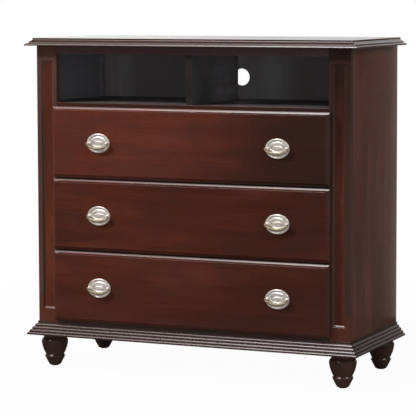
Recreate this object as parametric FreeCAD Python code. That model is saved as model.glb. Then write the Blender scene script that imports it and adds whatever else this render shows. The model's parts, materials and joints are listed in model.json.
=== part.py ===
import FreeCAD, Part
import math
import os

# Media chest: a cherry-stained case with an open two-bay shelf over three wide drawers,
# a moulded top, a reeded base moulding and four turned feet.
# X runs across the chest, Y from front to back, Z up from the floor. Millimetres.

# Case
body_width = 1058.0
body_depth = 426.0
foot_height = 104.5
side_thickness = 24.0
stile_width = 70.0
rail_thickness = 22.0
top_thickness = 24.0
moulding_overhang = 30.0

# Sunk panel in each front stile
panel_side_margin = 13.75
panel_bevel = 7.0
panel_depth = 5.0
panel_top_margin = 47.0
panel_bottom_margin = 84.5

# Open shelf
bay_height = 179.0
shelf_thickness = 20.5
shelf_reveal = 12.2
top_rail_height = 25.5
divider_thickness = 20.0
divider_rear_gap = 52.0
cable_hole_radius = 27.5
cable_hole_height = 70.5

# Back
back_thickness = 6.0
back_inset = 5.0
rear_post_width = 25.0
rear_post_thickness = 10.0
rear_post_lift = 15.0

# Base
base_board_thickness = 18.0
bottom_rail_height = 60.5
drawer_rail_height = 20.0
base_moulding_height = 42.5

# Drawers
drawer_count = 3
drawer_gap = 5.3
drawer_lap = 8.0
drawer_front_height = 223.3
drawer_front_thickness = 19.0
drawer_bevel = 9.0
lowest_drawer_height = 50.3
seat_gap = 0.4
box_lift = 20.0
box_top_drop = 33.3
box_rear_gap = 50.4
box_wall = 14.0
box_bottom = 5.0
box_bottom_lift = 12.0
groove_depth = 6.0
groove_clearance = 0.3

# Side-hung metal slides
slide_space = 12.7
slide_height = 45.0
slide_end_margin = 15.0
slide_sheet = 1.2
slide_channel_depth = 9.5
slide_rail_height = 35.0
slide_race_height = 24.0
slide_clearance = 0.4
slide_setback = 4.0
batten_height = 60.0

# Drawer pulls
pull_inset = 165.0
plate_width = 80.0
plate_height = 65.0
plate_edge = 3.0
plate_rim = 5.0
plate_groove = 2.6
plate_crown = 4.4
plate_floor = 3.0
eye_width = 36.0
eye_height = 16.0
eye_top = 4.6
eye_wall = 2.2
seat_radius = 5.2
seat_rise = 0.2
post_spacing = 55.0
post_radius = 3.2
post_head_radius = 3.4
bail_standoff = 10.3
bail_drop = 13.0
bail_mid_radius = 3.6
bail_end_radius = 2.4
bail_knuckle_radius = 2.8
bail_pin_radius = 1.5
bail_clearance = 0.3
pull_bolt_radius = 2.0
pull_bolt_head_radius = 4.4
pull_bolt_head = 2.6
bolt_clearance = 0.3

# Turned feet
foot_inset = 36.4
foot_rear_inset = 43.0
glide_radius = 12.0
glide_thickness = 3.0
foot_bolt_radius = 4.0
foot_bolt_depth = 42.0
foot_washer_radius = 10.0
foot_washer_thickness = 2.0
foot_nut_width = 13.0
foot_nut_thickness = 6.5

# Screws that hold the back
screw_radius = 1.75
screw_head_radius = 3.6
screw_head = 1.6
screw_length = 20.0
screw_edge = 5.0
screw_end_margin = 40.0
screw_pitch = 150.0

# Places worked out from the sizes
V = FreeCAD.Vector
half_width = body_width / 2
opening_half = half_width - stile_width
inner_half = half_width - side_thickness
drawer_half = opening_half + drawer_lap
pull_offset = drawer_half - pull_inset
drawer_pitch = drawer_front_height + drawer_gap
drawer_stack = drawer_pitch * drawer_count - drawer_gap
shelf_top_height = lowest_drawer_height + drawer_stack + shelf_reveal
body_height = shelf_top_height + bay_height
pull_reach = bail_standoff + bail_mid_radius
seat_top = plate_crown + seat_rise
overall_depth = pull_reach + drawer_front_thickness + seat_gap + body_depth
case_front = -overall_depth / 2 + pull_reach + drawer_front_thickness + seat_gap
case_back = case_front + body_depth
case_bottom = foot_height
case_top = foot_height + body_height
rail_back = case_front + rail_thickness
back_rear = case_back - back_inset
back_front = back_rear - back_thickness
shelf_top = case_bottom + shelf_top_height
shelf_bottom = shelf_top - shelf_thickness
shelf_middle = shelf_top - shelf_thickness / 2
base_board_top = case_bottom + base_board_thickness
rear_post_front = back_front - rear_post_width
face_y = case_front - seat_gap - drawer_front_thickness
front_back = case_front - seat_gap
box_half = opening_half - slide_space
box_rear = back_front - box_rear_gap
box_height = drawer_front_height - box_lift - box_top_drop
slide_front = case_front + slide_setback
slide_rear = box_rear + slide_setback + seat_gap - slide_end_margin
foot_x = half_width - foot_inset
foot_front_y = case_front + foot_inset
foot_rear_y = case_back - foot_rear_inset
drawer_names = ["bottom", "middle", "top"]


def box(x, y, z):
    """A block between the two ends of each of three spans."""
    size = [span[1] - span[0] for span in (x, y, z)]
    return Part.makeBox(*size, V(x[0], y[0], z[0]))


def both(span):
    return (-span, span)


def around(middle, size):
    """The span of a size that is centred on a place."""
    return (middle - size / 2, middle + size / 2)


def mirrored(shape):
    return shape.mirror(V(0, 0, 0), V(1, 0, 0))


def rod(radius, start, end):
    """A round bar from one point to another."""
    along = end - start
    return Part.makeCylinder(radius, along.Length, start, along)


def save(name, shape):
    shape.exportStep("parts/" + name + ".step")


def save_pair(name, right_shape):
    """The right-hand piece and its mirror image."""
    save("right_" + name, right_shape)
    save("left_" + name, mirrored(right_shape))


def segments(points):
    """Neighbouring points of an outline, with the bow of the stretch that leads to each."""
    return [(a[:2], b[:2], b[2]) for a, b in zip(points, points[1:])]


def stretch(start, end, bow, place):
    """A straight or bowed edge. A positive bow swells to the left of the way it runs."""
    if not bow:
        return Part.makeLine(place(*start), place(*end))
    run = end[0] - start[0]
    rise = end[1] - start[1]
    length = math.hypot(run, rise)
    middle = ((start[0] + end[0]) / 2 - rise / length * bow, (start[1] + end[1]) / 2 + run / length * bow)
    return Part.Arc(place(*start), place(*middle), place(*end)).toShape()


def face(parts, place):
    """A flat face inside a closed run of stretches."""
    return Part.Face(Part.Wire([stretch(*part, place) for part in parts]))


def closed(parts):
    """The same stretches with straight ones added wherever two of them don't meet."""
    out = []
    for part, after in zip(parts, parts[1:] + parts[:1]):
        out.append(part)
        if math.dist(part[1], after[0]):
            out.append((part[1], after[0], 0))
    return out


def moulded_block(edge, bottom):
    """A block with a moulded edge on its front and two sides and a flat back."""
    outward = [((half_width + a[0], a[1]), (half_width + b[0], b[1]), bow) for a, b, bow in edge]
    inward = [((-b[0], b[1]), (-a[0], a[1]), bow) for a, b, bow in reversed(outward)]
    across = face(closed(outward + inward), lambda u, v: V(u, case_front - moulding_overhang, bottom + v))
    front = [((case_front - b[0], b[1]), (case_front - a[0], a[1]), bow) for a, b, bow in reversed(edge)]
    height = edge[0][0][1]
    back = [((case_back, height), (case_back, 0), 0)]
    side = face(closed(front + back), lambda u, v: V(-half_width - moulding_overhang, u, bottom + v))
    long_run = across.extrude(V(0, body_depth + moulding_overhang, 0))
    wide_run = side.extrude(V(body_width + moulding_overhang * 2, 0, 0))
    return long_run.common(wide_run)


def top_panel():
    """The top: a vertical fillet under the arris, a cove, a quirk and a thumbnail nose."""
    arris_inset = 20.8
    fillet_drop = 4.5
    cove_run = 9.4
    cove_drop = 7.2
    cove_bow = 2.2
    quirk = 1.6
    nose_drop = 7.4
    nose_bow = 2.3
    nose_edge = 2.6
    under_bow = 0.8
    under_run = 2.2
    arris = moulding_overhang - arris_inset
    cove_top = top_thickness - fillet_drop
    quirk_height = cove_top - cove_drop
    nose_height = quirk_height - nose_drop
    edge = segments([
        (arris, top_thickness, 0),
        (arris, cove_top, 0),
        (arris + cove_run, quirk_height, -cove_bow),
        (arris + cove_run + quirk, quirk_height, 0),
        (moulding_overhang, nose_height, nose_bow),
        (moulding_overhang, nose_height - nose_edge, 0),
        (moulding_overhang - under_run, 0, under_bow),
    ])
    return moulded_block(edge, case_top)


def base_moulding():
    """The three mitred lengths of base moulding: a bead, a cove and three reeds stepping out."""
    ledge = 3.0
    bead_share = 0.92
    cove_share = 0.70
    reed_shares = [0.655, 0.445, 0.245]
    reed_drop_share = 0.175
    cove_out = 9.0
    reed_out = 7.4
    quirk = 0.8
    bead_bow = 0.5
    cove_bow = 1.6
    reed_bow = 2.2
    nose_edge = 1.6
    points = [
        (0, base_moulding_height, 0),
        (ledge, base_moulding_height, 0),
        (ledge + quirk, base_moulding_height * bead_share, bead_bow),
        (cove_out, base_moulding_height * cove_share, -cove_bow),
    ]
    out = cove_out
    for number, share in enumerate(reed_shares):
        points.append((out - quirk * min(number, 1), base_moulding_height * share, 0))
        out = cove_out + reed_out * (number + 1)
        if number == len(reed_shares) - 1:
            out = moulding_overhang
        points.append((out, base_moulding_height * (share - reed_drop_share), reed_bow))
    points.append((moulding_overhang, nose_edge, 0))
    points.append((moulding_overhang - nose_edge, 0, 0))
    ring = moulded_block(segments(points), case_bottom)
    case = box(both(half_width), (case_front, case_back), (case_bottom, case_top))
    ring = ring.cut(case)
    far = moulding_overhang * 2
    front_face = Part.Face(Part.makePolygon([
        V(-half_width, case_front, 0), V(half_width, case_front, 0),
        V(half_width + far, case_front - far, 0), V(-half_width - far, case_front - far, 0),
        V(-half_width, case_front, 0)]))
    side_face = Part.Face(Part.makePolygon([
        V(half_width, case_front, 0), V(half_width + far, case_front - far, 0),
        V(half_width + far, case_back, 0), V(half_width, case_back, 0),
        V(half_width, case_front, 0)]))
    rise = V(0, 0, case_top)
    return ring.common(front_face.extrude(rise)), ring.common(side_face.extrude(rise))


def rectangle(x, z, y):
    """A closed upright rectangle between two spans, facing the front."""
    corners = [V(x[0], y, z[0]), V(x[1], y, z[0]), V(x[1], y, z[1]), V(x[0], y, z[1])]
    return Part.makePolygon(corners, True)


def inset(span, distance):
    return (span[0] + distance, span[1] - distance)


def frustum(x, z, y, bevel, depth):
    """A block that narrows by the bevel on all four sides over its depth, towards +Y for a
    positive depth and towards the front for a negative one."""
    wide = rectangle(x, z, y)
    narrow = rectangle(inset(x, bevel), inset(z, bevel), y + depth)
    return Part.makeLoft([wide, narrow], True, True)


def right_stile():
    """A front post with a bevelled sunk panel."""
    x = (opening_half, half_width)
    post = box(x, (case_front, rail_back), (case_bottom, case_top))
    z = (case_bottom + panel_bottom_margin, case_top - panel_top_margin)
    return post.cut(frustum(inset(x, panel_side_margin), z, case_front, panel_bevel, panel_depth))


def right_side_panel():
    return box((inner_half, half_width), (rail_back, case_back), (case_bottom, case_top))


def front_rail(z):
    return box(both(opening_half), (case_front, rail_back), z)


def screw_places():
    """The height and X place of each screw through the back panels."""
    places = []
    x = inner_half - screw_edge
    for low, high in ((case_bottom, shelf_middle), (shelf_middle, case_top)):
        first = low + screw_end_margin
        run = high - screw_end_margin - first
        steps = max(1, round(run / screw_pitch))
        for step in range(steps + 1):
            for side in (-x, x):
                places.append((side, first + run * step / steps))
    return places


def screw(x, z):
    head = rod(screw_head_radius, V(x, back_rear, z), V(x, back_rear + screw_head, z))
    return head.fuse(rod(screw_radius, V(x, back_rear, z), V(x, back_rear - screw_length, z)))


def screw_holes():
    radius = screw_radius + bolt_clearance
    deep = back_rear - screw_length - bolt_clearance
    return [rod(radius, V(x, back_rear, z), V(x, deep, z)) for x, z in screw_places()]


def rear_post():
    x = (inner_half - rear_post_thickness, inner_half)
    return box(x, (rear_post_front, back_front), (base_board_top + rear_post_lift, case_top))


def back_panel(z):
    return box(both(inner_half), (back_front, back_rear), z)


def media_shelf(post):
    shelf = box(both(inner_half), (rail_back, back_front), (shelf_bottom, shelf_top))
    return shelf.cut([post, mirrored(post)])


def divider():
    z = (shelf_top, case_top)
    board = box(both(divider_thickness / 2), (case_front, back_front - divider_rear_gap), z)
    return board.cut(front_rail((case_top - top_rail_height, case_top)))


def foot_places():
    """Each foot's name and the X and Y of its axis."""
    return [
        ("front_left", -foot_x, foot_front_y), ("front_right", foot_x, foot_front_y),
        ("rear_left", -foot_x, foot_rear_y), ("rear_right", foot_x, foot_rear_y),
    ]


def foot():
    """One turned foot on the Z axis: a neck, a bulb, a collar and a tapered toe."""
    neck_radius = 36.5
    neck_share = 0.93
    groove_radius = 35.2
    groove_share = 0.885
    bulb_radius = 41.6
    bulb_share = 0.70
    waist_radius = 28.8
    waist_share = 0.355
    collar_radius = 31.8
    collar_share = 0.315
    toe_top_radius = 30.4
    toe_top_share = 0.26
    toe_radius = 17.0
    groove_bow = 0.6
    shoulder_bow = 3.2
    bulb_bow = 2.6
    collar_bow = 0.9
    toe_bow = 2.0
    outline = segments([
        (0, foot_height, 0),
        (neck_radius, foot_height, 0),
        (neck_radius, foot_height * neck_share, 0),
        (groove_radius, foot_height * groove_share, -groove_bow),
        (bulb_radius, foot_height * bulb_share, shoulder_bow),
        (waist_radius, foot_height * waist_share, bulb_bow),
        (collar_radius, foot_height * collar_share, 0),
        (toe_top_radius, foot_height * toe_top_share, collar_bow),
        (toe_radius, glide_thickness, toe_bow),
        (0, glide_thickness, 0),
    ])
    section = face(closed(outline), lambda u, v: V(u, 0, v))
    turned = section.revolve(V(0, 0, 0), V(0, 0, 1), 360)
    depth = foot_bolt_depth + bolt_clearance
    hole_end = V(0, 0, foot_height - depth)
    return turned.cut(rod(foot_bolt_radius + bolt_clearance, V(0, 0, foot_height), hole_end))


def hexagon(width, thickness, centre):
    """A six-sided nut blank standing on its centre point."""
    radius = width / math.sqrt(3)
    sides = 6
    turns = [math.tau * n / sides for n in range(sides + 1)]
    corners = [centre + V(radius * math.cos(turn), radius * math.sin(turn), 0) for turn in turns]
    return Part.Face(Part.makePolygon(corners)).extrude(V(0, 0, thickness))


def foot_bolt():
    """A hanger bolt on the Z axis, with the washer and nut above the base board."""
    washer_top = base_board_top + foot_washer_thickness
    nut_top = washer_top + foot_nut_thickness
    shank_end = V(0, 0, nut_top + foot_washer_thickness)
    shank = rod(foot_bolt_radius, V(0, 0, foot_height - foot_bolt_depth), shank_end)
    washer = rod(foot_washer_radius, V(0, 0, base_board_top), V(0, 0, washer_top))
    nut = hexagon(foot_nut_width, foot_nut_thickness, V(0, 0, washer_top))
    return shank.fuse([washer, nut])


def at_feet(shape):
    """A copy of a shape on each foot's axis."""
    return [shape.translated(V(x, y, 0)) for _, x, y in foot_places()]


def base_board():
    board = box(both(inner_half), (rail_back, back_front), (case_bottom, base_board_top))
    hole = rod(foot_bolt_radius + bolt_clearance, V(0, 0, case_bottom), V(0, 0, base_board_top))
    return board.cut(at_feet(hole))


def drawer_bottoms():
    """The height of each drawer front's lower edge, from the lowest up."""
    return [case_bottom + lowest_drawer_height + drawer_pitch * n for n in range(drawer_count)]


def slide_middle(low):
    return low + box_lift + box_height / 2


def runner_batten(low):
    """A batten that fills the side of the case out to the stile, behind one drawer slide."""
    z = around(slide_middle(low), batten_height)
    return box((opening_half, inner_half), (rail_back, rear_post_front), z)


def slide_channel(low):
    """The fixed half of a slide: a channel open towards the drawer."""
    middle = slide_middle(low)
    y = (slide_front, slide_rear)
    lips = opening_half - slide_channel_depth
    block = box((lips, opening_half), y, around(middle, slide_height))
    hollow_height = slide_height - slide_sheet * 2
    hollow = box((lips, opening_half - slide_sheet), y, around(middle, hollow_height))
    return block.cut(hollow)


def drawer_slide(low):
    """The moving half of a slide: a web on the drawer's side with a race inside the channel."""
    middle = slide_middle(low)
    y = (slide_front, slide_rear)
    web = box((box_half, box_half + slide_sheet), y, around(middle, slide_rail_height))
    race_end = opening_half - slide_sheet - slide_clearance
    race = box((box_half + slide_sheet, race_end), y, around(middle, slide_race_height))
    return web.fuse(race)


def pull_places(low):
    """The centre of each pull on a drawer, on the drawer's face."""
    return [V(side * pull_offset, face_y, low + drawer_front_height / 2) for side in (-1, 1)]


def post_places(low):
    return [centre + V(side * post_spacing / 2, 0, 0) for centre in pull_places(low) for side in (-1, 1)]


def bolt_hole(place):
    deep = V(0, drawer_front_thickness + seat_top, 0)
    return rod(pull_bolt_radius + bolt_clearance, place - V(0, seat_top, 0), place + deep)


def drawer_front(low):
    """A slab whose four edges are bevelled towards the face."""
    x = both(drawer_half)
    z = (low, low + drawer_front_height)
    shoulder = face_y + drawer_bevel
    slab = box(x, (shoulder, front_back), z)
    front = slab.fuse(frustum(x, z, shoulder, drawer_bevel, -drawer_bevel))
    groove_x = both(box_half - box_wall + groove_depth)
    groove = box(groove_x, (front_back - groove_depth, front_back), bottom_span(low, groove_clearance))
    return front.cut([bolt_hole(place) for place in post_places(low)] + [groove]).removeSplitter()


def bottom_span(low, extra=0):
    """The span of heights that the drawer's bottom board takes."""
    start = low + box_lift + box_bottom_lift
    return (start - extra, start + box_bottom + extra)


def drawer_bottom(low):
    reach = groove_depth - groove_clearance
    x = both(box_half - box_wall + reach)
    return box(x, (front_back - reach, box_rear - box_wall + reach), bottom_span(low))


def wall_span(low):
    """The span of heights that the drawer's walls take."""
    return (low + box_lift, low + box_lift + box_height)


def drawer_side(low):
    inner = box_half - box_wall
    side = box((inner, box_half), (front_back, box_rear), wall_span(low))
    groove = box((inner, inner + groove_depth), (front_back, box_rear - box_wall + groove_depth),
                 bottom_span(low, groove_clearance))
    return side.cut(groove)


def drawer_back(low):
    x = both(box_half - box_wall)
    inner = box_rear - box_wall
    board = box(x, (inner, box_rear), wall_span(low))
    groove = box(x, (inner, inner + groove_depth), bottom_span(low, groove_clearance))
    return board.cut(groove)


def stretched(shape, factor):
    """A shape on the Y axis stretched along X."""
    matrix = FreeCAD.Matrix()
    matrix.scale(V(factor, 1, 1))
    return shape.transformGeometry(matrix)


def turned_plate(points):
    """A solid turned about the Y axis from radii and heights off the drawer's face."""
    section = face(closed(segments(points)), lambda u, v: V(u, -v, 0))
    return section.revolve(V(0, 0, 0), V(0, 1, 0), 360)


def pull_plate():
    """One oval back plate on the Y axis: a rim, a groove, a crowned field and a raised eye."""
    rim_share = 0.95
    rim_inner_share = 0.90
    groove_share = 0.84
    crown_share = 0.62
    field_share = 0.42
    radius = plate_height / 2
    dish = turned_plate([
        (0, 0, 0),
        (radius, 0, 0),
        (radius, plate_edge, 0),
        (radius * rim_share, plate_rim, 0),
        (radius * rim_inner_share, plate_rim, 0),
        (radius * groove_share, plate_groove, 0),
        (radius * crown_share, plate_crown, 0),
        (radius * field_share, plate_floor, 0),
        (0, plate_floor, 0),
    ])
    eye_radius = eye_height / 2
    eye = turned_plate([
        (eye_radius - eye_wall, 0, 0),
        (eye_radius, 0, 0),
        (eye_radius, plate_floor, 0),
        (eye_radius - eye_wall / 2, eye_top, 0),
        (eye_radius - eye_wall, plate_floor, 0),
    ])
    plate = stretched(dish, plate_width / plate_height).fuse(stretched(eye, eye_width / eye_height))
    for side in (-1, 1):
        centre = V(side * post_spacing / 2, 0, 0)
        plate = plate.fuse(rod(seat_radius, centre, centre - V(0, seat_top, 0)))
    for side in (-1, 1):
        plate = plate.cut(bolt_hole(V(side * post_spacing / 2, 0, 0)))
    return plate


def pull_post(place):
    """A pull's post with a round head drilled for the bail's pin, and its bolt through the front."""
    seat = place - V(0, seat_top, 0)
    head = place - V(0, bail_standoff, 0)
    back = place + V(0, drawer_front_thickness, 0)
    post = rod(post_radius, seat, head).fuse(Part.makeSphere(post_head_radius, head))
    bolt = rod(pull_bolt_radius, seat, back).fuse(
        rod(pull_bolt_head_radius, back, back + V(0, pull_bolt_head, 0)))
    reach = V(post_head_radius * 2, 0, 0)
    hole = rod(bail_pin_radius + bail_clearance, head - reach, head + reach)
    return post.fuse(bolt).cut(hole)


def ring_wire(centre, normal, radius):
    return Part.Wire(Part.Circle(centre, normal, radius).toShape())


def bail():
    """One bail about its hinge axis along X, hanging down, thicker in the middle."""
    half_span = post_spacing / 2 + post_head_radius + bail_clearance + bail_knuckle_radius
    curve = Part.ArcOfEllipse(Part.Ellipse(V(0, 0, 0), half_span, bail_drop), math.pi, math.pi * 2)
    pipe = Part.BRepOffsetAPI.MakePipeShell(Part.Wire(curve.toShape()))
    pipe.add(ring_wire(V(-half_span, 0, 0), V(0, 1, 0), bail_end_radius))
    pipe.add(ring_wire(V(0, -bail_drop, 0), V(1, 0, 0), bail_mid_radius))
    pipe.add(ring_wire(V(half_span, 0, 0), V(0, 1, 0), bail_end_radius))
    pipe.build()
    pipe.makeSolid()
    pieces = []
    inner_end = post_spacing / 2 - post_radius
    for side in (-1, 1):
        knuckle = V(side * half_span, 0, 0)
        pieces.append(Part.makeSphere(bail_knuckle_radius, knuckle))
        pieces.append(rod(bail_pin_radius, knuckle, V(side * inner_end, 0, 0)))
    whole = pipe.shape().fuse(pieces)
    return whole.rotated(V(0, 0, 0), V(1, 0, 0), 90)


def save_case():
    """Every piece that stays with the case."""
    save("top_panel", top_panel())
    save_pair("side_panel", right_side_panel())
    save_pair("stile", right_stile())
    save("top_rail", front_rail((case_top - top_rail_height, case_top)))
    save("shelf_edge_rail", front_rail((shelf_bottom, shelf_top)))
    save("bottom_rail", front_rail((case_bottom, case_bottom + bottom_rail_height)))
    lows = drawer_bottoms()
    for name, low in zip(("lower", "upper"), lows[1:]):
        span = around(low - drawer_gap / 2, drawer_rail_height)
        save(name + "_drawer_rail", front_rail(span))
    post = rear_post()
    save("media_shelf", media_shelf(post))
    save("shelf_divider", divider())
    holes = screw_holes()
    save_pair("rear_post", post.cut(holes))
    cable_z = shelf_top + cable_hole_height
    cable_hole = rod(cable_hole_radius, V(0, back_front, cable_z), V(0, back_rear, cable_z))
    save("upper_back_panel", back_panel((shelf_middle, case_top)).cut(holes + [cable_hole]))
    save("lower_back_panel", back_panel((case_bottom, shelf_middle)).cut(holes))
    save("back_panel_screws", Part.Compound([screw(x, z) for x, z in screw_places()]))
    save("base_board", base_board())
    front_moulding, side_moulding = base_moulding()
    save("base_moulding_front", front_moulding)
    save("base_moulding_right", side_moulding)
    save("base_moulding_left", mirrored(side_moulding))
    battens = [runner_batten(low) for low in lows]
    save("runner_battens", Part.Compound(battens + [mirrored(batten) for batten in battens]))
    channels = [slide_channel(low) for low in lows]
    save("slide_channels", Part.Compound(channels + [mirrored(channel) for channel in channels]))


def save_feet():
    for (name, _, _), shape in zip(foot_places(), at_feet(foot())):
        save(name + "_foot", shape)
    save("foot_bolts", Part.Compound(at_feet(foot_bolt())))
    glide = rod(glide_radius, V(0, 0, 0), V(0, 0, glide_thickness))
    save("foot_glides", Part.Compound(at_feet(glide)))


def save_drawers():
    plate = pull_plate()
    handle = bail()
    for level, low in zip(drawer_names, drawer_bottoms()):
        save(level + "_drawer_front", drawer_front(low))
        side = drawer_side(low)
        save(level + "_drawer_right_side", side)
        save(level + "_drawer_left_side", mirrored(side))
        save(level + "_drawer_back", drawer_back(low))
        save(level + "_drawer_bottom", drawer_bottom(low))
        slide = drawer_slide(low)
        save(level + "_drawer_slides", Part.Compound([slide, mirrored(slide)]))
        centres = pull_places(low)
        save(level + "_pull_plates", Part.Compound([plate.translated(centre) for centre in centres]))
        save(level + "_pull_posts", Part.Compound([pull_post(place) for place in post_places(low)]))
        for hand, centre in zip(("left", "right"), centres):
            save(level + "_" + hand + "_bail", handle.translated(centre - V(0, bail_standoff, 0)))


os.makedirs("parts", exist_ok=True)
save_case()
save_feet()
save_drawers()
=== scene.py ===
import json
import math
import bpy
import numpy as np
from mathutils import Matrix, Vector


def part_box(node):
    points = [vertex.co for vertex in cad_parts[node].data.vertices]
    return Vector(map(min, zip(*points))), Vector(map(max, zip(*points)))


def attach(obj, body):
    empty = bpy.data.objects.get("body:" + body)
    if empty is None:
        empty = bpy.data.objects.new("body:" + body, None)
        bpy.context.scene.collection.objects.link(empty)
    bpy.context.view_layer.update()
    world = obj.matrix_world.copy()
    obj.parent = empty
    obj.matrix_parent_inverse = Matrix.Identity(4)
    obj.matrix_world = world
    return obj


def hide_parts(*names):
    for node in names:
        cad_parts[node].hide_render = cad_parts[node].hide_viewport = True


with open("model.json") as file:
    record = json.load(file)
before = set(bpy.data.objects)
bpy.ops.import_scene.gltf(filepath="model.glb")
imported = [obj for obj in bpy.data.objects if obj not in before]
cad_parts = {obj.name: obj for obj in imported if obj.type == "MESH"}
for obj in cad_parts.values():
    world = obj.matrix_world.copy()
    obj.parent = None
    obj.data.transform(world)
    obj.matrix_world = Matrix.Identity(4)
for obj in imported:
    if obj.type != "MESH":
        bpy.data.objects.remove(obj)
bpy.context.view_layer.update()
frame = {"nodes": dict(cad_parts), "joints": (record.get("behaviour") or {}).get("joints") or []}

# A cherry-stained media chest: moulded top, open two-bay shelf, three drawers with oval bail pulls,
# a reeded base moulding and turned feet. Shapes are typed in millimetres and made metres in the meshes.
# Finishes, the camera and the lamps are in metres.

nodes = frame["nodes"]
MM = 0.001


def low_high(node):
    """The lowest and highest corner of a frame node in millimetres."""
    low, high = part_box(node)
    return np.array(low) / MM, np.array(high) / MM


# Places taken from the frame
TOP_LOW, TOP_HIGH = low_high("top_panel")
BASE_LOW, BASE_HIGH = low_high("base_moulding_front")
STILE_LOW, STILE_HIGH = low_high("right_stile")
SIDE_LOW, SIDE_HIGH = low_high("right_side_panel")
HALF = STILE_HIGH[0]
FRONT = STILE_LOW[1]
BACK = SIDE_HIGH[1]
OVERHANG = TOP_HIGH[0] - HALF
LEVELS = ("top", "middle", "bottom")
HANDS = ("left", "right")
SIDES = (-1, 1)


# Outlines and surfaces

def bowed(points, steps=6):
    """An outline through points (u, v, bow). Along each stretch it is the straight line plus the bow times
    4t(1 - t) towards the line's left."""
    ends = np.array([p[:2] for p in points], float)
    bow = np.array([p[2] for p in points[1:]], float)
    run = np.diff(ends, axis=0)
    left = np.stack([-run[:, 1], run[:, 0]], 1) / np.linalg.norm(run, axis=1)[:, None]
    t = np.linspace(0, 1, steps + 1)
    swell = (left * bow[:, None])[:, None] * (4 * t * (1 - t))[:, None]
    curve = ends[:-1, None] + run[:, None] * t[:, None] + swell
    outline = np.concatenate([stretch if b else stretch[[0, -1]] for stretch, b in zip(curve, bow)])
    apart = np.linalg.norm(np.diff(outline, axis=0), axis=1) > 1e-6
    return outline[np.concatenate([[True], apart])]


def flowing(rows, steps=5):
    """Rows of a table joined by a Catmull-Rom curve: each stretch is the cubic whose slope at a row is half
    the difference of the rows beside it."""
    p = np.array(rows, float)
    p = np.concatenate([2 * p[:1] - p[1:2], p, 2 * p[-1:] - p[-2:-1]])
    a, b, c, d = p[:-3], p[1:-2], p[2:-1], p[3:]
    t = (np.arange(steps) / steps)[:, None, None]
    curve = 0.5 * (2 * b + (c - a) * t + (2 * a - 5 * b + 4 * c - d) * t**2 + (3 * b - a - 3 * c + d) * t**3)
    return np.concatenate([curve.transpose(1, 0, 2).reshape(-1, p.shape[1]), p[-2:-1]])


def full_turn(around):
    """Evenly spaced angles round a circle."""
    return np.linspace(0, math.tau, around, endpoint=False)


def volume(points, faces):
    """The signed volume inside a closed surface: the sum over its triangles of a . (b x c) / 6."""
    fans = np.array([(f[0], f[k], f[k + 1]) for f in faces for k in range(1, len(f) - 1)])
    a, b, c = points[fans[:, 0]], points[fans[:, 1]], points[fans[:, 2]]
    return np.einsum("ij,ij->i", a, np.cross(b, c)).sum() / 6


def quads_between(rows, around):
    """The quads that join each ring of a stack to the next ring."""
    start = (np.arange(rows - 1) * around)[:, None]
    here = np.arange(around)[None]
    beside = (here + 1) % around
    quads = np.stack([start + here, start + beside, start + around + beside, start + around + here], -1)
    return quads.reshape(-1, 4).tolist()


def skin(rings):
    """A closed surface over a stack of rings: quads between neighbouring rings and a face over each end.
    Where its signed volume is negative it is turned inside out, so that its faces point outwards."""
    rows, around, _ = rings.shape
    first = list(range(around))
    last = [(rows - 1) * around + k for k in first]
    faces = quads_between(rows, around) + [first[::-1], last]
    points = rings.reshape(-1, 3)
    outward = volume(points - points.mean(0), faces) > 0
    return points, faces if outward else [f[::-1] for f in faces]


def rectangles(x0, x1, z0, z1, y):
    """Upright rectangles from arrays of their left, right, lower and upper edges and their depths."""
    x = np.stack([x0, x1, x1, x0], 1)
    z = np.stack([z0, z0, z1, z1], 1)
    return np.stack([x, np.broadcast_to(np.reshape(y, (-1, 1)), x.shape), z], -1)


def board(low, high):
    """A sawn board between two corners, as a stack of two rectangles."""
    ends = np.array([low[1], high[1]])
    one = np.ones(2)
    return skin(rectangles(low[0] * one, high[0] * one, low[2] * one, high[2] * one, ends))


def turned(profile, centre, around=64):
    """A lathe shape: each row (radius, height) of the profile becomes a circle about the vertical axis."""
    angle = full_turn(around)
    radius, height = profile[:, :1], profile[:, 1:]
    x = centre[0] + radius * np.cos(angle)
    y = centre[1] + radius * np.sin(angle)
    return skin(np.stack([x, y, height + 0 * angle], -1))


def pressed(rows, centre, around=72):
    """A stamped oval: each row (half width, half height, proud, lift) becomes an ellipse that stands off the
    face and is raised by the lift."""
    angle = full_turn(around)
    wide, tall, proud, lift = np.split(rows, 4, axis=1)
    x = centre[0] + wide * np.cos(angle)
    z = centre[2] + lift + tall * np.sin(angle)
    return skin(np.stack([x, centre[1] - proud + 0 * angle, z], -1))


def tube(path, radius, around=20):
    """A round bar of changing radius: circles across the path, spanned by the path's normal and Y."""
    along = np.gradient(path, axis=0)
    along /= np.linalg.norm(along, axis=1)[:, None]
    depth = np.array([0.0, 1.0, 0.0])
    across = np.cross(along, depth)
    angle = full_turn(around)[None, :, None]
    circle = np.cos(angle) * across[:, None] + np.sin(angle) * depth
    return skin(path[:, None] + radius[:, None, None] * circle)


# Pieces

def piece(name, parts, body, finish, stands_for, sharp, ease=0.0):
    """One object from closed surfaces that stands for frame nodes. Its edges are eased by a round of that
    radius where it is not zero, and edges over the sharp angle are shaded as sharp where it is zero."""
    points, faces, start = [], [], 0
    for part_points, part_faces in parts:
        points.append(part_points)
        faces += [[start + k for k in f] for f in part_faces]
        start += len(part_points)
    mesh = bpy.data.meshes.new(name)
    mesh.from_pydata(np.concatenate(points) * MM, [], faces)
    mesh.polygons.foreach_set("use_smooth", np.ones(len(faces), bool))
    mesh.materials.append(finish)
    made = bpy.data.objects.new(name, mesh)
    bpy.context.scene.collection.objects.link(made)
    if ease:
        rounding = made.modifiers.new("eased edges", "BEVEL")
        rounding.width = ease * MM
        rounding.segments = 2
        rounding.limit_method = "ANGLE"
        rounding.angle_limit = math.radians(sharp)
        rounding.harden_normals = True
    else:
        mesh.set_sharp_from_angle(angle=math.radians(sharp))
    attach(made, body)
    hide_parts(*stands_for)
    return made


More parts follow.
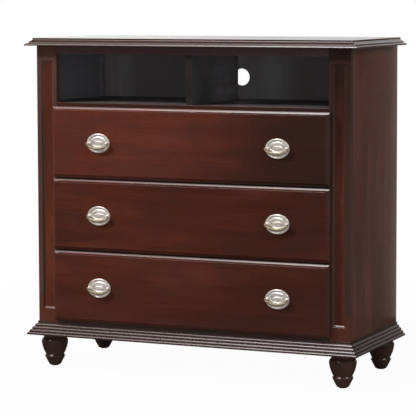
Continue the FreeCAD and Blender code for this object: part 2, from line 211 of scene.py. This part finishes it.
def wooden(name, part, body, finish, node, ease, sharp=30.0):
    """A stained piece that stands for one node."""
    return piece(name, [part], body, finish, [node], sharp, ease)


def metal(name, parts, body, finish, node):
    """A nickel-plated piece that stands for one node."""
    return piece(name, parts, body, finish, [node], 50.0)


def paint(finish, *names):
    """Puts a finish on pieces of the frame that keep their shape."""
    for name in names:
        nodes[name].data.materials.clear()
        nodes[name].data.materials.append(finish)


# Shader arithmetic

class Value:
    """A shader output that can be used in sums. Each sum adds the Math node that works it out."""

    def __init__(self, tree, socket):
        self.tree = tree
        self.socket = socket

    def node(self, kind, inputs, output=0, **settings):
        """Adds any node: its settings first, then the values or links of its inputs."""
        return add_node(self.tree, kind, inputs, output, **settings)

    def maths(self, operation, *terms):
        """Adds a Math node."""
        return self.node("ShaderNodeMath", dict(enumerate(terms)), operation=operation)

    def __add__(self, other):
        return self.maths("ADD", self, other)

    __radd__ = __add__

    def __sub__(self, other):
        return self.maths("SUBTRACT", self, other)

    def __rsub__(self, other):
        return self.maths("SUBTRACT", other, self)

    def __mul__(self, other):
        return self.maths("MULTIPLY", self, other)

    __rmul__ = __mul__

    def __truediv__(self, other):
        return self.maths("DIVIDE", self, other)

    def __abs__(self):
        return self.maths("ABSOLUTE", self)

    def ramp(self, low, high):
        """0 at low, 1 at high, and a smooth step between them. It falls where low is the higher number."""
        return self.node("ShaderNodeMapRange", {"Value": self, "From Min": low, "From Max": high},
                         interpolation_type="SMOOTHSTEP")

    def blend(self, first, second):
        """The first colour where this is 0 and the second where it is 1."""
        return self.node("ShaderNodeMix", {0: self, 6: first, 7: second}, 2, data_type="RGBA")


def add_node(tree, kind, inputs, output=0, **settings):
    """Adds a node to the tree and gives one of its outputs."""
    made = tree.nodes.new(kind)
    for name, value in settings.items():
        setattr(made, name, value)
    for key, value in inputs.items():
        if isinstance(value, Value):
            tree.links.new(value.socket, made.inputs[key])
        elif isinstance(value, tuple) and len(value) == 3 and made.inputs[key].type == "RGBA":
            made.inputs[key].default_value = (*value, 1)
        else:
            made.inputs[key].default_value = value
    return Value(tree, made.outputs[output])


def new_finish(name):
    """An empty material, its node tree and the place of each point on its object."""
    finish = bpy.data.materials.new(name)
    finish.use_nodes = True
    finish.node_tree.nodes.clear()
    tree = finish.node_tree
    return finish, tree, add_node(tree, "ShaderNodeTexCoord", {}, 3)


def close_finish(finish, tree, colour, roughness, height, depth, strength=1.0, **constants):
    """The surface: colour, roughness and a bump of that depth in metres; constants are the same all over."""
    bump = add_node(tree, "ShaderNodeBump", {"Height": height, "Distance": depth, "Strength": strength})
    inputs = {"Base Color": colour, "Roughness": roughness, "Normal": bump}
    inputs.update({key.replace("_", " "): value for key, value in constants.items()})
    shader = add_node(tree, "ShaderNodeBsdfPrincipled", inputs)
    tree.links.new(shader.socket, tree.nodes.new("ShaderNodeOutputMaterial").inputs[0])
    return finish


def coordinate(place, axis):
    """One coordinate of the place: 0 is X, 1 is Y and 2 is Z."""
    return place.node("ShaderNodeSeparateXYZ", {0: place}, axis)


def stretched(place, grain, along, across, shift=(0.0, 0.0, 0.0)):
    """The place scaled along and across the grain axis, so that a pattern has about so many spots a
    metre."""
    scale = [across] * 3
    scale["XYZ".index(grain)] = along
    return place.node("ShaderNodeMapping", {"Vector": place, "Location": shift, "Scale": tuple(scale)})


def noise(place, detail=4.0, rough=0.55, distortion=0.0):
    """Fractal noise between 0 and 1."""
    return place.node("ShaderNodeTexNoise", {"Vector": place, "Scale": 1.0, "Detail": detail,
                                             "Roughness": rough, "Distortion": distortion})


# Finishes. Each stain has a dark, a middle and a light colour.

CHERRY = ((0.042, 0.0095, 0.0055), (0.086, 0.0195, 0.0105), (0.135, 0.0340, 0.0160))
UMBER = ((0.026, 0.0125, 0.0100), (0.044, 0.0205, 0.0160), (0.062, 0.0280, 0.0210))
GREYED = ((0.130, 0.125, 0.136), (0.195, 0.187, 0.203), (0.290, 0.278, 0.302))
BROWNED = ((0.034, 0.0115, 0.0080), (0.066, 0.0235, 0.0165), (0.100, 0.0370, 0.0255))
SMOKED = ((0.024, 0.0175, 0.0170), (0.040, 0.0300, 0.0290), (0.056, 0.0420, 0.0400))
DUSKY = ((0.048, 0.0270, 0.0255), (0.078, 0.0470, 0.0450), (0.112, 0.0660, 0.0620))
# The bays' grey: darker at the front as painted shade, lighter at the rear as painted light.
BAY_FRONT_PAINTED_SHADE = (0.205, 0.197, 0.213)
BAY_REAR_PAINTED_LIGHT = (0.40, 0.383, 0.416)
PORE = (0.012, 0.005, 0.004)


def toned(colour, tone):
    """A colour made lighter or darker by a factor."""
    return tuple(tone * c for c in colour)


def stained_wood(name, grain, seed, tone=1.0, stain=CHERRY, inner=None, fades=(), relief=0.4, rough=0.13,
                 gloss=0.5):
    """Stain under lacquer: long figure, cloudy patches, blotches, fine streaks and short pores. Nearer to
    the chest's middle than the inner plane, the greyed stain of the bays takes over; it is darker at the
    front as painted shade and lighter towards the rear as painted light. A fade is (axis, start, end,
    share, colour): from start to end along the axis the stain goes over to the colour by the share."""
    finish, tree, place = new_finish(name)
    shift = (seed * 1.7, seed * 2.3, seed * 3.1)
    figure = noise(stretched(place, grain, 1.6, 15.0, shift), 5.0, 0.6, 0.6)
    streaks = noise(stretched(place, grain, 4.0, 140.0, shift), 3.0, 0.6)
    pores = noise(stretched(place, grain, 38.0, 1150.0, shift), 1.0, 0.5).ramp(0.62, 0.72)
    cloud = noise(stretched(place, grain, 3.0, 5.0, shift), 2.0, 0.5)
    patches = noise(stretched(place, grain, 1.8, 3.5, shift), 2.0, 0.5)
    blotches = noise(stretched(place, grain, 7.0, 13.0, shift), 4.0, 0.6)
    fibres = noise(stretched(place, grain, 60.0, 60.0, shift), 2.0)
    dark, middle, light = (toned(colour, tone) for colour in stain)
    colour = figure.ramp(0.3, 0.7).blend(dark, light)
    colour = (cloud.ramp(0.35, 0.65) * 0.5 + 0.25).blend(colour, middle)
    colour = (patches.ramp(0.40, 0.70) * 0.45).blend(colour, dark)
    colour = (blotches.ramp(0.42, 0.68) * 0.4).blend(colour, toned(UMBER[1], tone))
    colour = (streaks.ramp(0.45, 0.75) * 0.35).blend(colour, dark)
    for axis, start, end, share, faded in fades:
        colour = ((coordinate(place, axis) + cloud * 0.3).ramp(start, end) * share).blend(colour, faded)
    if inner:
        # Painted shade at the bay's front and painted light at its rear, in the greyed stain.
        greyed = coordinate(place, 1).ramp(-0.15, 0.15).blend(BAY_FRONT_PAINTED_SHADE, BAY_REAR_PAINTED_LIGHT)
        outer_face = abs(coordinate(place, 0)).ramp((inner + 0.5) * MM, (inner + 1.0) * MM)
        colour = outer_face.blend(greyed, colour)
    colour = (pores * 0.45).blend(colour, PORE)
    roughness = rough + streaks * 0.07 + pores * 0.1
    height = streaks * 0.3 + fibres * 0.7 - pores * 0.8
    return close_finish(finish, tree, colour, roughness, height, 0.00005, relief, Specular_IOR_Level=gloss)


def plain_board(name, grain, seed, light, dark, rough=0.6):
    """Bare or thinly finished softwood: growth bands drawn out along the grain, and fibres."""
    finish, tree, place = new_finish(name)
    shift = (seed * 1.3, seed * 2.9, seed * 0.7)
    bands = noise(stretched(place, grain, 1.2, 34.0, shift), 4.0, 0.55, 1.1)
    fibres = noise(stretched(place, grain, 22.0, 520.0, shift), 2.0, 0.6)
    colour = bands.ramp(0.35, 0.65).blend(light, dark)
    colour = (fibres.ramp(0.5, 0.8) * 0.35).blend(colour, dark)
    return close_finish(finish, tree, colour, rough + fibres * 0.12, fibres + bands * 0.4, 0.00015, 0.6,
                        Specular_IOR_Level=0.35)


def backing_board(name, rear):
    """Thin board with a grey stain rolled on its front: fine felted fibre, faint roller streaks and clouds,
    dimmer to both sides of the middle as painted shade, lighter in the middle as painted light. Behind
    the rear plane the bare brown fibre shows."""
    finish, tree, place = new_finish(name)
    felt = noise(stretched(place, "X", 420.0, 420.0), 3.0, 0.7)
    streaks = noise(stretched(place, "Z", 3.0, 60.0), 3.0)
    clouds = noise(stretched(place, "Z", 2.0, 5.0, (3.1, 0.0, 0.4)), 2.0)
    colour = streaks.ramp(0.35, 0.7).blend((0.52, 0.50, 0.505), (0.60, 0.575, 0.58))
    # Painted light and shade: dimmer from 0.22 m to 0.37 m out from the middle, lighter at the middle and
    # the ends.
    aside = abs(coordinate(place, 0))
    dim = aside.ramp(0.10, 0.22) * (1 - aside.ramp(0.37, 0.43))
    colour = dim.blend(colour, (0.35, 0.325, 0.33))
    colour = (clouds.ramp(0.45, 0.65) * 0.8).blend(colour, (0.33, 0.285, 0.285))
    colour = (felt.ramp(0.55, 0.8) * 0.3).blend(colour, (0.50, 0.485, 0.49))
    bare = (felt * 0.6 + streaks * 0.4).ramp(0.35, 0.65).blend((0.085, 0.045, 0.026), (0.130, 0.072, 0.042))
    colour = coordinate(place, 1).ramp((rear - 1) * MM, rear * MM).blend(colour, bare)
    return close_finish(finish, tree, colour, 0.5 + felt * 0.15, felt, 0.0001, 0.5, Specular_IOR_Level=0.3)


def nickel(name, tint, rough, metallic):
    """Satin nickel plate: a soft brushed grain with faint cloudy rubbing."""
    finish, tree, place = new_finish(name)
    brushed = noise(stretched(place, "X", 180.0, 1500.0), 2.0, 0.6)
    cloud = noise(stretched(place, "X", 90.0, 90.0), 3.0)
    colour = cloud.ramp(0.4, 0.75).blend(tint, toned(tint, 0.82))
    roughness = rough + brushed * 0.08 + cloud * 0.06
    return close_finish(finish, tree, colour, roughness, brushed, 0.00002, 0.4, Metallic=metallic)


def zinc(name):
    """Zinc-plated steel: grey spangles with a rolled grain."""
    finish, tree, place = new_finish(name)
    spangle = place.node("ShaderNodeTexVoronoi", {"Vector": place, "Scale": 260.0})
    rolled = noise(stretched(place, "Y", 40.0, 900.0), 2.0)
    colour = spangle.ramp(0.1, 0.9).blend((0.46, 0.47, 0.48), (0.60, 0.61, 0.62))
    return close_finish(finish, tree, colour, 0.3 + rolled * 0.15, rolled, 0.00003, 0.4, Metallic=1.0)


def moulded_nylon(name):
    """Dark moulded nylon with a fine spark-eroded grain."""
    finish, tree, place = new_finish(name)
    grain = noise(stretched(place, "X", 900.0, 900.0), 2.0, 0.6)
    colour = grain.ramp(0.3, 0.8).blend((0.018, 0.018, 0.019), (0.034, 0.034, 0.035))
    return close_finish(finish, tree, colour, 0.45 + grain * 0.2, grain, 0.00005, 0.6)


# The case

def top_edge():
    """The top's moulded edge, outward from the case's side: fillet, hollow slope, step, thumbnail nose."""
    tall = 24.0
    arris = OVERHANG - 20.8
    fillet_drop = 4.6
    slope_out, slope_height, slope_bow = 9.8, 11.8, -0.7
    step_out, step_height = 11.4, 7.0
    nose_height, nose_bow = 2.6, 2.1
    under_round, under_bow = 1.3, 0.4
    return bowed([
        (arris, tall, 0),
        (arris, tall - fillet_drop, 0),
        (arris + slope_out, slope_height, slope_bow),
        (arris + step_out, step_height, 0),
        (OVERHANG, nose_height, nose_bow),
        (OVERHANG, under_round, 0),
        (OVERHANG - under_round, 0.0, under_bow),
    ])


def base_edge():
    """The base moulding's outline: a fillet above four reeds that step out, each a bowed slope that laps
    over a narrow quirk."""
    tall = BASE_HIGH[2] - BASE_LOW[2]
    ledge = 3.0
    reeds = 4
    reed_bow = 2.0
    reeds_share, lap_share, slope_share, quirk_share = 0.82, 1.12, 0.80, 0.86
    under_round = 1.2
    step = (OVERHANG - ledge) / reeds
    drop = tall * reeds_share / reeds
    outline = [(0, tall, 0), (ledge, tall, 0)]
    for number in range(reeds):
        inner, top = ledge + step * number, tall * reeds_share - drop * number
        outline += [
            (inner, top, 0),
            (inner + step * lap_share, top - drop * slope_share, reed_bow),
            (inner + step, top - drop * quirk_share, 0),
        ]
    nose_height = outline[-2][1]
    outline[-2:] = [
        (OVERHANG, nose_height, reed_bow),
        (OVERHANG, under_round, 0),
        (OVERHANG - under_round, 0.0, 0),
        (0, 0.0, 0),
    ]
    return bowed(outline)


def top_panel():
    """Rectangles stacked down the moulded edge, each as far out as the outline, with a flat back."""
    out, up = top_edge().T
    x = HALF + out
    y = FRONT - out
    corners_x = np.stack([-x, -x, x, x], 1)
    corners_y = np.stack([BACK + 0 * y, y, y, BACK + 0 * y], 1)
    corners_z = np.broadcast_to((TOP_LOW[2] + up)[:, None], corners_x.shape)
    return skin(np.stack([corners_x, corners_y, corners_z], -1))


def base_run(side):
    """A length of base moulding: the outline carried between two ends, mitred where it meets its neighbour.
    Side 0 is the front."""
    out, up = base_edge().T
    z = BASE_LOW[2] + up
    if side == 0:
        ends = [np.stack([s * (HALF + out), FRONT - out, z], 1) for s in SIDES]
    else:
        x = side * (HALF + out)
        ends = [np.stack([x, FRONT - out, z], 1), np.stack([x, BACK + 0 * out, z], 1)]
    return skin(np.stack(ends))


def stile(side):
    """A front post with a bevelled sunk panel: rectangles from its back, round its front edge and into the
    panel, whose margins are those towards the drawers, towards the side, below and above."""
    bevel, panel_depth, bevel_bow = 7.0, 6.0, 1.2
    margins = (12.5, 16.0, 84.0, 47.0)
    wide = STILE_HIGH[0] - STILE_LOW[0]
    inset, sunk = bowed([(0, 0, 0), (bevel, panel_depth, bevel_bow)]).T
    near, far, low, high = (np.concatenate([[0, 0], margin + inset]) for margin in margins)
    near, far = HALF - wide + near, HALF - far
    depth = np.concatenate([[STILE_HIGH[1], FRONT], FRONT + sunk])
    x0, x1 = (near, far) if side > 0 else (-far, -near)
    return skin(rectangles(x0, x1, STILE_LOW[2] + low, STILE_HIGH[2] - high, depth))


def divider():
    """The board between the bays: its outline, notched for the top rail, carried from side to side."""
    low, high = low_high("shelf_divider")
    rail_low, rail_high = low_high("top_rail")
    y = np.array([low[1], high[1], high[1], rail_high[1], rail_high[1], low[1]])
    z = np.array([low[2], low[2], high[2], high[2], rail_low[2], rail_low[2]])
    return skin(np.stack([np.stack([x + 0 * y, y, z], 1) for x in (low[0], high[0])]))


def foot_outline():
    """The turned foot from its top down: neck, groove, bulb, waist, collar and toe over the glide."""
    tall = STILE_LOW[2]
    core = 0.5
    neck = 36.5
    glide = 3.0
    toe_round = 1.6
    return bowed([
        (core, tall, 0),
        (neck, tall, 0),
        (neck, tall * 0.93, 0),
        (35.2, tall * 0.885, -0.6),
        (41.6, tall * 0.70, 3.2),
        (28.8, tall * 0.355, 2.0),
        (31.8, tall * 0.315, 0),
        (30.4, tall * 0.26, 0.9),
        (18.6, glide + toe_round, 0.3),
        (17.2, glide, 0.3),
        (core, glide, 0),
    ], 12)


def make_mouldings_and_sides():
    """The top, the base moulding, the panelled stiles and the side boards. The stiles are warmer below, and
    the right one and its sunk panel are darker at the top: painted shade under the top's overhang."""
    along = stained_wood("umber along the chest", "X", 1, 1.35, UMBER, relief=0.1)
    # The side runs of the base moulding take umber toned darker than the front run's: painted shade on the
    # chest's sides.
    deep = stained_wood("umber front to back", "Y", 3, 0.75, UMBER, relief=0.1, rough=0.26)
    side_wood = stained_wood("cherry side panels", "Z", 5, 1.6, BROWNED, SIDE_LOW[0], rough=0.07)
    warm_foot = (2, 0.38, 0.33, 0.8, (0.115, 0.029, 0.013))
    # Painted shade under the top's overhang, at the head of the right stile and of its sunk panel.
    painted_shade_head = (2, 0.80, 1.08, 0.6, UMBER[0])
    painted_shade_sunk_head = (2, 0.80, 1.07, 0.95, UMBER[0])
    upright = {"left": stained_wood("umber left stile", "Z", 2, 2.3, UMBER, fades=[warm_foot]),
               "right": stained_wood("umber right stile", "Z", 4, 1.8, UMBER, fades=[painted_shade_head, warm_foot])}
    sunk = {"left": stained_wood("cherry left sunk panel", "Z", 9, 1.32),
            "right": stained_wood("cherry right sunk panel", "Z", 21, 1.5, fades=[painted_shade_sunk_head])}
    wooden("cherry_top", top_panel(), "case", along, "top_panel", 0.7)
    wooden("front_base_reeds", base_run(0), "case", along, "base_moulding_front", 0.3)
    for side, hand in zip(SIDES, HANDS):
        wooden(hand + "_base_reeds", base_run(side), "case", deep, "base_moulding_" + hand, 0.3)
        post = wooden(hand + "_panelled_stile", stile(side), "case", upright[hand], hand + "_stile", 1.0)
        post.data.materials.append(sunk[hand])
        post.data.polygons[-1].material_index = 1
        panel = hand + "_side_panel"
        wooden(hand + "_side_board", board(*low_high(panel)), "case", side_wood, panel, 1.5)


def make_rails():
    """The rails across the front."""
    dim_right = (0, 0.1, 0.5, 0.5, DUSKY[2])
    crossing = stained_wood("umber rails", "X", 12, 1.4, UMBER)
    finishes = {"top_rail": stained_wood("dusky top rail", "X", 14, 1.0, DUSKY, fades=[dim_right]),
                "shelf_edge_rail": stained_wood("browned shelf edge", "X", 13, 0.8, BROWNED)}
    for rail in ("top_rail", "shelf_edge_rail", "upper_drawer_rail", "lower_drawer_rail", "bottom_rail"):
        wooden("eased_" + rail, board(*low_high(rail)), "case", finishes.get(rail, crossing), rail, 1.0)


def make_divider():
    """The divider, with the greyed stain of the bays on its two cheeks, dimmer at the front as painted
    shade.
    """
    # Painted shade on the cheeks towards the front.
    painted_shade_front = (1, 0.24, -0.03, 1.0, (0.070, 0.067, 0.072))
    shaded = stained_wood("smoked stain inside the shelf", "X", 7, 0.8, SMOKED)
    greyed = stained_wood("greyed stain of the bays", "Y", 15, 2.2, GREYED, fades=[painted_shade_front])
    wall = wooden("eased_shelf_divider", divider(), "case", shaded, "shelf_divider", 1.0)
    wall.data.materials.append(greyed)
    for cheek in wall.data.polygons[-2:]:
        cheek.material_index = 1


def make_feet():
    """Four turned feet."""
    dark_foot = stained_wood("umber feet", "Z", 8, 1.5, UMBER, rough=0.18)
    for end in ("front", "rear"):
        for hand in HANDS:
            node = "%s_%s_foot" % (end, hand)
            low, high = low_high(node)
            foot = turned(foot_outline(), (low + high) / 2)
            wooden("turned_" + node, foot, "case", dark_foot, node, 0.0, 40.0)


def finish_plain_pieces():
    """Finishes for the pieces of the case that keep their shape, and for the drawers' slides."""
    # The shelf is darker towards the front: painted shade.
    shelf_painted_shade = (1, 0.26, 0.06, 1.0, (0.110, 0.092, 0.092))
    shelf = stained_wood("greyed stain of the shelf", "X", 7, 1.7, GREYED, fades=[shelf_painted_shade], rough=0.6,
                         gloss=0.05)
    paint(shelf, "media_shelf")
    posts = stained_wood("greyed stain of the rear posts", "Z", 16, 2.5, GREYED)
    paint(posts, "left_rear_post", "right_rear_post")
    rear = low_high("upper_back_panel")[1][1]
    paint(backing_board("rolled backing board", rear - 1.0), "upper_back_panel", "lower_back_panel")
    pale, ruddy = (0.52, 0.36, 0.20), (0.36, 0.21, 0.10)
    paint(plain_board("sawn pine", "X", 4, pale, ruddy), "base_board")
    paint(plain_board("sawn pine battens", "Y", 6, pale, ruddy), "runner_battens")
    slides = [level + "_drawer_slides" for level in LEVELS]
    paint(zinc("zinc plate"), "slide_channels", "foot_bolts", "back_panel_screws", *slides)
    paint(moulded_nylon("dark nylon"), "foot_glides")


# The drawers

def drawer_front(level):
    """Rectangles from the back of the front, round its bevelled edge and over its face. The bevel is bowed
    along the top and bottom and flat at the sides."""
    bevel, bow = 10.0, 1.6
    low, high = low_high(level + "_drawer_front")
    inset, depth = bowed([(0, high[1] - low[1], 0), (0, bevel, 0), (bevel, 0.0, bow)], 8).T
    sides = np.maximum(bevel - depth, 0)
    return skin(rectangles(low[0] + sides, high[0] - sides, low[2] + inset, high[2] - inset, low[1] + depth))


# The stamped plate from its rim inwards: half width, half height, how proud it is, and lift
PLATE = [
    (39.0, 30.4, 0.0, 0), (39.0, 30.4, 2.6, 0), (38.5, 29.9, 4.2, 0), (37.5, 28.9, 5.2, 0),
    (36.2, 27.6, 5.2, 0), (35.0, 26.3, 4.2, 0), (34.2, 25.3, 2.2, 0), (33.2, 24.2, 1.6, 0),
    (31.0, 21.8, 1.6, 0), (30.0, 20.6, 2.2, 0), (29.0, 19.3, 3.4, 0), (28.0, 18.0, 3.8, 0),
    (25.4, 14.4, 4.0, 0.2), (24.0, 12.7, 4.1, 0.4), (23.0, 11.6, 3.7, 0.5), (22.0, 10.6, 2.4, 0.6),
    (21.0, 9.7, 1.1, 0.8), (19.4, 8.6, 0.7, 1.1), (17.6, 7.4, 0.9, 1.4), (16.4, 6.4, 2.0, 1.6),
    (15.6, 5.7, 3.6, 1.8), (14.4, 5.0, 4.8, 1.8), (12.4, 4.2, 5.3, 1.8), (7.0, 2.3, 5.5, 1.8),
    (0.3, 0.1, 5.5, 1.8),
]
# The post from its bolt head inside the drawer to its rounded front: radius, and how proud it is
POST = [
    (0.3, -21.6), (2.6, -21.4), (3.9, -20.6), (4.4, -19.2), (4.4, -19.0), (2.0, -19.0), (2.0, 0.0),
    (4.3, 0.0), (4.3, 4.2), (4.0, 4.9), (3.1, 5.4), (3.0, 6.0), (3.0, 8.4), (3.3, 9.6), (3.3, 10.8),
    (2.8, 12.2), (1.8, 13.1), (0.3, 13.5),
]
POST_OUT = 30.4
KNUCKLE_OUT = 36.9


def post(x, y, z):
    """A pull's post with its bolt: circles about the line from inside the front to the rounded head."""
    radius, proud = np.array(POST).T
    return pressed(np.stack([radius, radius, proud, 0 * proud], 1), (x, y, z), 32)


def bail_bar(hinge):
    """Half an ellipse below the hinge line. The bar's radius grows from the knuckles to the middle by the
    swell times the angle's sine to the power 1.3."""
    drop = 16.0
    end_radius, swell = 2.6, 1.5
    t = np.linspace(0, math.pi, 49)
    path = hinge + np.stack([-KNUCKLE_OUT * np.cos(t), 0 * t, -drop * np.sin(t)], 1)
    return tube(path, end_radius + swell * np.sin(t) ** 1.3)


def knuckle(centre):
    """A ball: circles of radius R cos t at the heights R sin t."""
    radius, pole = 2.9, 0.05
    t = np.linspace(-math.pi / 2, math.pi / 2, 13)
    profile = np.stack([np.maximum(radius * np.cos(t), pole), centre[2] + radius * np.sin(t)], 1)
    return turned(profile, centre, 24)


def pin(start, end):
    """A round pin along X: circles between two points."""
    radius = 1.5
    angle = full_turn(24)
    circle = np.stack([0 * angle, radius * np.cos(angle), radius * np.sin(angle)], 1)
    return skin(np.linspace(start, end, 4)[:, None] + circle)


def bail(hinge):
    """A hanging bail with a ball and a pin at each end. The pins reach into the posts."""
    pin_reach = 2.0
    parts = [bail_bar(hinge)]
    for side in SIDES:
        ball = hinge + np.array([side * KNUCKLE_OUT, 0, 0])
        parts += [knuckle(ball), pin(ball, hinge + np.array([side * (POST_OUT - pin_reach), 0, 0]))]
    return parts


def make_drawer(level, number, tone, shade_share):
    """A bevelled front whose right half is darker as painted shade of the light falling off, and finishes
    for the boards of its box.
    """
    body = level + "_drawer"
    pale, ruddy = (0.50, 0.33, 0.18), (0.38, 0.23, 0.12)
    # Painted shade: the front darkens towards its right end.
    painted_shade_right = (0, 0.05, 0.5, shade_share, UMBER[0])
    wood = stained_wood(level + " drawer cherry", "X", 11 + number * 3, tone, fades=[painted_shade_right])
    wooden(level + "_bevelled_front", drawer_front(level), body, wood, level + "_drawer_front", 0.6)
    sides = plain_board(level + " drawer side", "Y", 20 + number, pale, ruddy, 0.4)
    paint(sides, body + "_left_side", body + "_right_side")
    cross = plain_board(level + " drawer back", "X", 30 + number, pale, ruddy, 0.4)
    paint(cross, body + "_back", body + "_bottom")


def make_pulls(level, hinges, plate_metal, bail_metal):
    """The two pulls of a drawer."""
    body = level + "_drawer"
    face = low_high(level + "_drawer_front")[0][1]
    centres = [hinges["%s_%s_bail_hinge" % (level, hand)] for hand in HANDS]
    plates = [pressed(flowing(PLATE), (c[0], face, c[2])) for c in centres]
    metal(level + "_oval_plates", plates, body, plate_metal, level + "_pull_plates")
    posts = [post(c[0] + side * POST_OUT, face, c[2]) for c in centres for side in SIDES]
    metal(level + "_round_posts", posts, body, plate_metal, level + "_pull_posts")
    for hand, centre in zip(HANDS, centres):
        node = "%s_%s_bail" % (level, hand)
        metal("hanging_" + node, bail(centre), node, bail_metal, node)


def make_drawers():
    """The three drawers with their pulls, each drawer a little different in colour."""
    hinges = {j["name"]: np.array(j["pos_m"]) / MM for j in frame["joints"] if j["type"] == "hinge"}
    plate_metal = nickel("satin nickel", (1.0, 0.93, 0.86), 0.28, 0.55)
    # The bail's dark tan tint is a painted reflection of the dark room around it.
    bail_metal = nickel("nickel tinted by painted reflection", (0.40, 0.32, 0.22), 0.55, 0.45)
    tones = (1.62, 1.07, 1.10)
    # Shares of painted shade towards the right end of each front.
    painted_shade_shares = (0.80, 0.1, 0.25)
    for number, (level, tone, shade_share) in enumerate(zip(LEVELS, tones, painted_shade_shares)):
        make_drawer(level, number, tone, shade_share)
        make_pulls(level, hinges, plate_metal, bail_metal)


# Camera, floor and light

def make_camera():
    """The camera of the photograph's view. Its angles are in degrees."""
    place = (2.6495, -5.9839, 1.1999)
    heading, down, roll = 24.070, 4.859, -0.169
    lens = bpy.data.cameras.new("camera")
    lens.lens = 179.53
    lens.sensor_width = 36.0
    lens.shift_y = -0.10
    lens.clip_end = 100.0
    eye = bpy.data.objects.new("camera", lens)
    turn = Matrix.Rotation(math.radians(heading), 4, "Z") @ Matrix.Rotation(math.radians(90 - down), 4, "X")
    eye.matrix_world = Matrix.Translation(Vector(place)) @ turn @ Matrix.Rotation(math.radians(roll), 4, "Z")
    bpy.context.scene.collection.objects.link(eye)
    bpy.context.scene.camera = eye


def softbox(name, place, aim, size, watts, colour=(1.0, 1.0, 1.0), mirrored=True):
    """A rectangular lamp that points from its place to the aim. Gloss shows it where it is mirrored."""
    lamp = bpy.data.lights.new(name, "AREA")
    lamp.shape = "RECTANGLE"
    lamp.size, lamp.size_y = size
    lamp.energy = watts
    lamp.color = colour
    box = bpy.data.objects.new(name, lamp)
    turn = (Vector(aim) - Vector(place)).to_track_quat("-Z", "Y")
    box.matrix_world = Matrix.Translation(Vector(place)) @ turn.to_matrix().to_4x4()
    box.visible_glossy = mirrored
    bpy.context.scene.collection.objects.link(box)


def make_lamps():
    """A small key lamp high on the left, a soft one on the right and a faint warm one behind it."""
    softbox("key softbox", (-2.4, -1.9, 3.2), (0.0, -0.2, 0.6), (0.3, 0.3), 122.0, mirrored=False)
    softbox("side softbox", (2.6, -0.6, 2.2), (0.5, 0.0, 0.6), (1.0, 1.0), 17.0)
    softbox("rim softbox", (0.79, 1.2, 0.6), (0.5, 0.2, 0.6), (0.14, 1.4), 0.46, (1.0, 0.86, 0.74))


def ray_kinds(tree):
    """Whether a ray comes from the camera, and whether it comes from gloss or through glass."""
    kinds = ("Is Camera Ray", "Is Glossy Ray", "Is Transmission Ray")
    camera, glossy, through = (add_node(tree, "ShaderNodeLightPath", {}, kind) for kind in kinds)
    return camera, glossy + through


def make_floor():
    """A round floor: rings of radius r in one plane, with a disc inside the first. It is pale, and white to
    the camera with the chest's shadow kept; further out it goes over into plain white. In gloss it is dim,
    with a lighter band in front of the chest."""
    angle = full_turn(96)
    radius = np.array([0.5, 1.0, 2.0, 3.0, 4.0])[:, None]
    rings = np.stack([radius * np.cos(angle), radius * np.sin(angle), 0 * radius * angle], -1)
    rows, around = rings.shape[:2]
    faces = [quad[::-1] for quad in quads_between(rows, around)] + [list(range(around))]
    mesh = bpy.data.meshes.new("floor")
    mesh.from_pydata(rings.reshape(-1, 3), [], faces)
    finish, tree, place = new_finish("pale floor")
    speckle = noise(stretched(place, "X", 40.0, 40.0), 2.0)
    colour = speckle.ramp(0.3, 0.7).blend((0.54, 0.54, 0.54), (0.56, 0.56, 0.56))
    matt = add_node(tree, "ShaderNodeBsdfDiffuse", {"Color": colour})
    camera, mirrored = ray_kinds(tree)
    away = place.node("ShaderNodeVectorMath", {0: place}, 1, operation="LENGTH").ramp(0.9, 2.6)
    share = camera * (away * 0.035 + 0.965) + mirrored * 0.95
    near = 0 - coordinate(place, 1)
    band = near.ramp(0.4, 0.6) * (1 - near.ramp(0.8, 1.2))
    strength = camera + mirrored * (band * 0.22 + 0.03)
    white = add_node(tree, "ShaderNodeEmission", {"Color": (1.0, 1.0, 1.0), "Strength": strength})
    mixed = add_node(tree, "ShaderNodeMixShader", {0: share, 1: matt, 2: white})
    tree.links.new(mixed.socket, tree.nodes.new("ShaderNodeOutputMaterial").inputs[0])
    mesh.materials.append(finish)
    floor = bpy.data.objects.new("floor", mesh)
    bpy.context.scene.collection.objects.link(floor)


def make_world():
    """White to the camera. To gloss, a room: white behind the chest above the horizon, a light ceiling,
    grey walls to the right and left, and the rest dim. All other rays see a soft fill from the front and
    the right."""
    world = bpy.data.worlds.new("studio")
    bpy.context.scene.world = world
    world.use_nodes = True
    tree = world.node_tree
    tree.nodes.clear()
    way = add_node(tree, "ShaderNodeTexCoord", {}, 0)
    x, y, z = (coordinate(way, axis) for axis in range(3))
    across, up_front = x / z, y / z
    backwards = y * 0.91 - x * 0.41
    rightwards = x * 0.91 - y * 0.41
    leftwards = 0 - x
    behind = z.ramp(-0.05, 0.03) * (1 - z.ramp(0.30, 0.45)) * backwards.ramp(0.77, 0.85)
    behind = behind * (leftwards.ramp(0.38, 0.46) * 0.35 + 0.95)
    overhead = z.ramp(0.25, 0.33) * (1 - across.ramp(-0.35, -0.15)) * across.ramp(-1.2, -1.0)
    ceiling = overhead * up_front.ramp(-1.8, -1.4) * (1 - up_front.ramp(-0.25, 0.05))
    ceiling = ceiling * (across.ramp(-0.57, -0.40) * 14.5 + 3.2)
    walls = rightwards.ramp(0.50, 0.80) * 0.25 + leftwards.ramp(0.88, 0.97) * 0.35
    room = behind + ceiling + walls * z.ramp(-0.30, -0.15) + 0.04
    fill = (0 - y).ramp(0.1, 0.8) * 0.20 + x.ramp(0.1, 0.8) * 0.40 + 0.20
    camera, mirrored = ray_kinds(tree)
    strength = camera + mirrored * room + (1 - camera - mirrored) * fill
    light = add_node(tree, "ShaderNodeBackground", {"Color": (1.0, 1.0, 1.0), "Strength": strength})
    tree.links.new(light.socket, tree.nodes.new("ShaderNodeOutputWorld").inputs[0])


make_camera()
make_mouldings_and_sides()
make_rails()
make_divider()
make_feet()
finish_plain_pieces()
make_drawers()
make_floor()
make_world()
make_lamps()
bpy.context.scene.view_settings.view_transform = "Standard"
